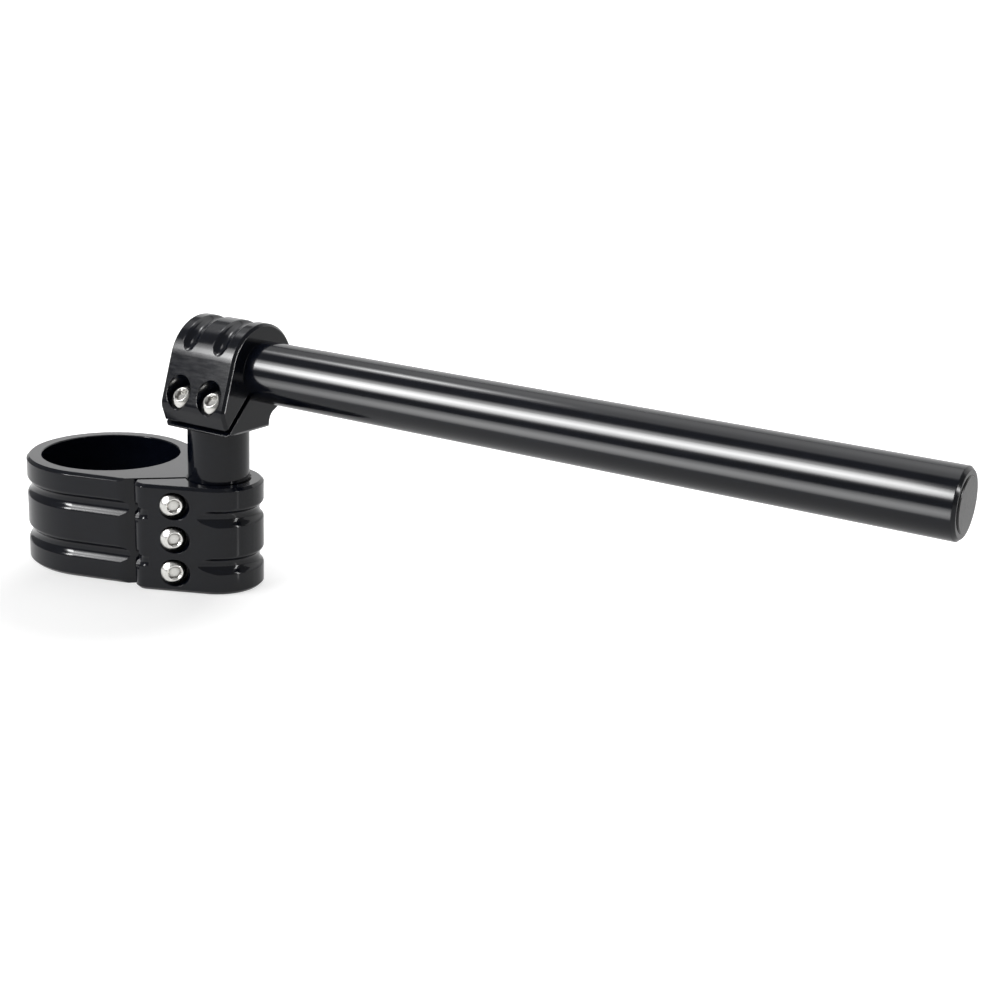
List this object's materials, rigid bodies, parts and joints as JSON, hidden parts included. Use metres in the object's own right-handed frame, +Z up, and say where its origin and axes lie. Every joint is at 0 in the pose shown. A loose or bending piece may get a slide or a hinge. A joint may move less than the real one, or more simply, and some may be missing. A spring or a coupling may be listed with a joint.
{
  "type": "clip on handlebar",
  "caption": "Clip-on handlebar: a ring clamp for a fork leg, a pinched riser post, and a split clamp that holds a straight tubular bar with a plugged end.",
  "frame": {"origin": "on the fork bore's axis, at the underside of the fork clamp", "axes": "+Z up along the fork bore, +X from the fork bore past the riser post and out along the bar, -Y the side of the screws"},
  "size_m": [0.3579, 0.0632, 0.0985],
  "materials": {
    "black_anodised": "glossy black anodised",
    "stainless": "bright stainless",
    "plug": "satin black"
  },
  "bodies": {
    "root": {"fork_clamp": "black_anodised", "fork_clamp_screw_upper": "stainless", "fork_clamp_screw_middle": "stainless", "fork_clamp_screw_lower": "stainless", "riser_post": "black_anodised", "riser_bolt": "stainless", "bar_clamp": "black_anodised", "bar_clamp_screw_inner": "stainless", "bar_clamp_screw_outer": "stainless", "handlebar_tube": "black_anodised", "bar_end_plug": "plug"}
  },
  "joints": []
}
